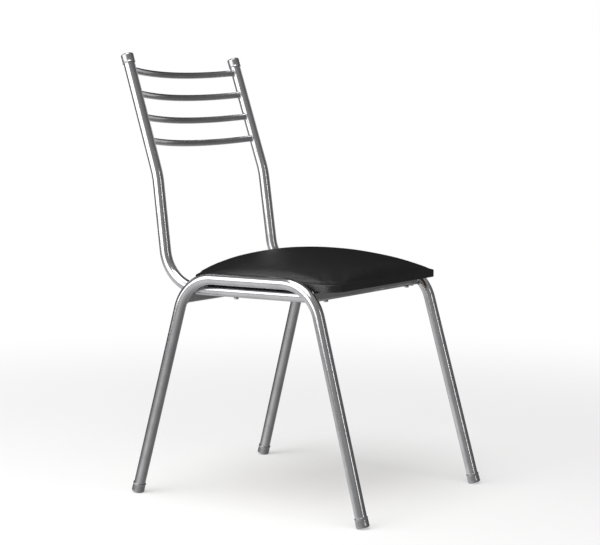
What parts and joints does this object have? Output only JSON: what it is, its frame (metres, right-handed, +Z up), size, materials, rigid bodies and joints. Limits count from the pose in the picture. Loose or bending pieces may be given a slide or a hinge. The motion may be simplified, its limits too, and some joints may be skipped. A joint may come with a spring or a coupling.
{
  "type": "stacking chair",
  "caption": "Stacking side chair with a bent steel tube frame, splayed legs, bowed back slats and a black padded vinyl seat.",
  "frame": {"origin": "on the floor, under the middle of the chair's outline", "axes": "+Z up, -Y towards the front of the seat, +X towards the right-hand side seen from the front"},
  "size_m": [0.4568, 0.6008, 0.8589],
  "materials": {
    "frame_steel": "bright plated steel tube, silver-grey",
    "grey_caps": "silver-grey moulded plastic",
    "black_vinyl": "black embossed vinyl, satin",
    "plywood": "raw plywood",
    "foam": "open-cell cushion foam",
    "zinc": "zinc-plated steel"
  },
  "bodies": {
    "root": {"leg_frame_left": "frame_steel", "leg_frame_right": "frame_steel", "back_tube_left": "frame_steel", "back_tube_right": "frame_steel", "front_cross_rail": "frame_steel", "rear_cross_rail": "frame_steel", "back_slat_top": "frame_steel", "back_slat_upper": "frame_steel", "back_slat_lower": "frame_steel", "back_slat_bottom": "frame_steel", "foot_cap_front_left": "grey_caps", "foot_cap_front_right": "grey_caps", "foot_cap_rear_left": "grey_caps", "foot_cap_rear_right": "grey_caps", "back_cap_left": "grey_caps", "back_cap_right": "grey_caps", "seat_board": "plywood", "seat_foam": "foam", "seat_cover": "black_vinyl", "cover_staples": "zinc", "seat_screws": "zinc"}
  },
  "joints": []
}
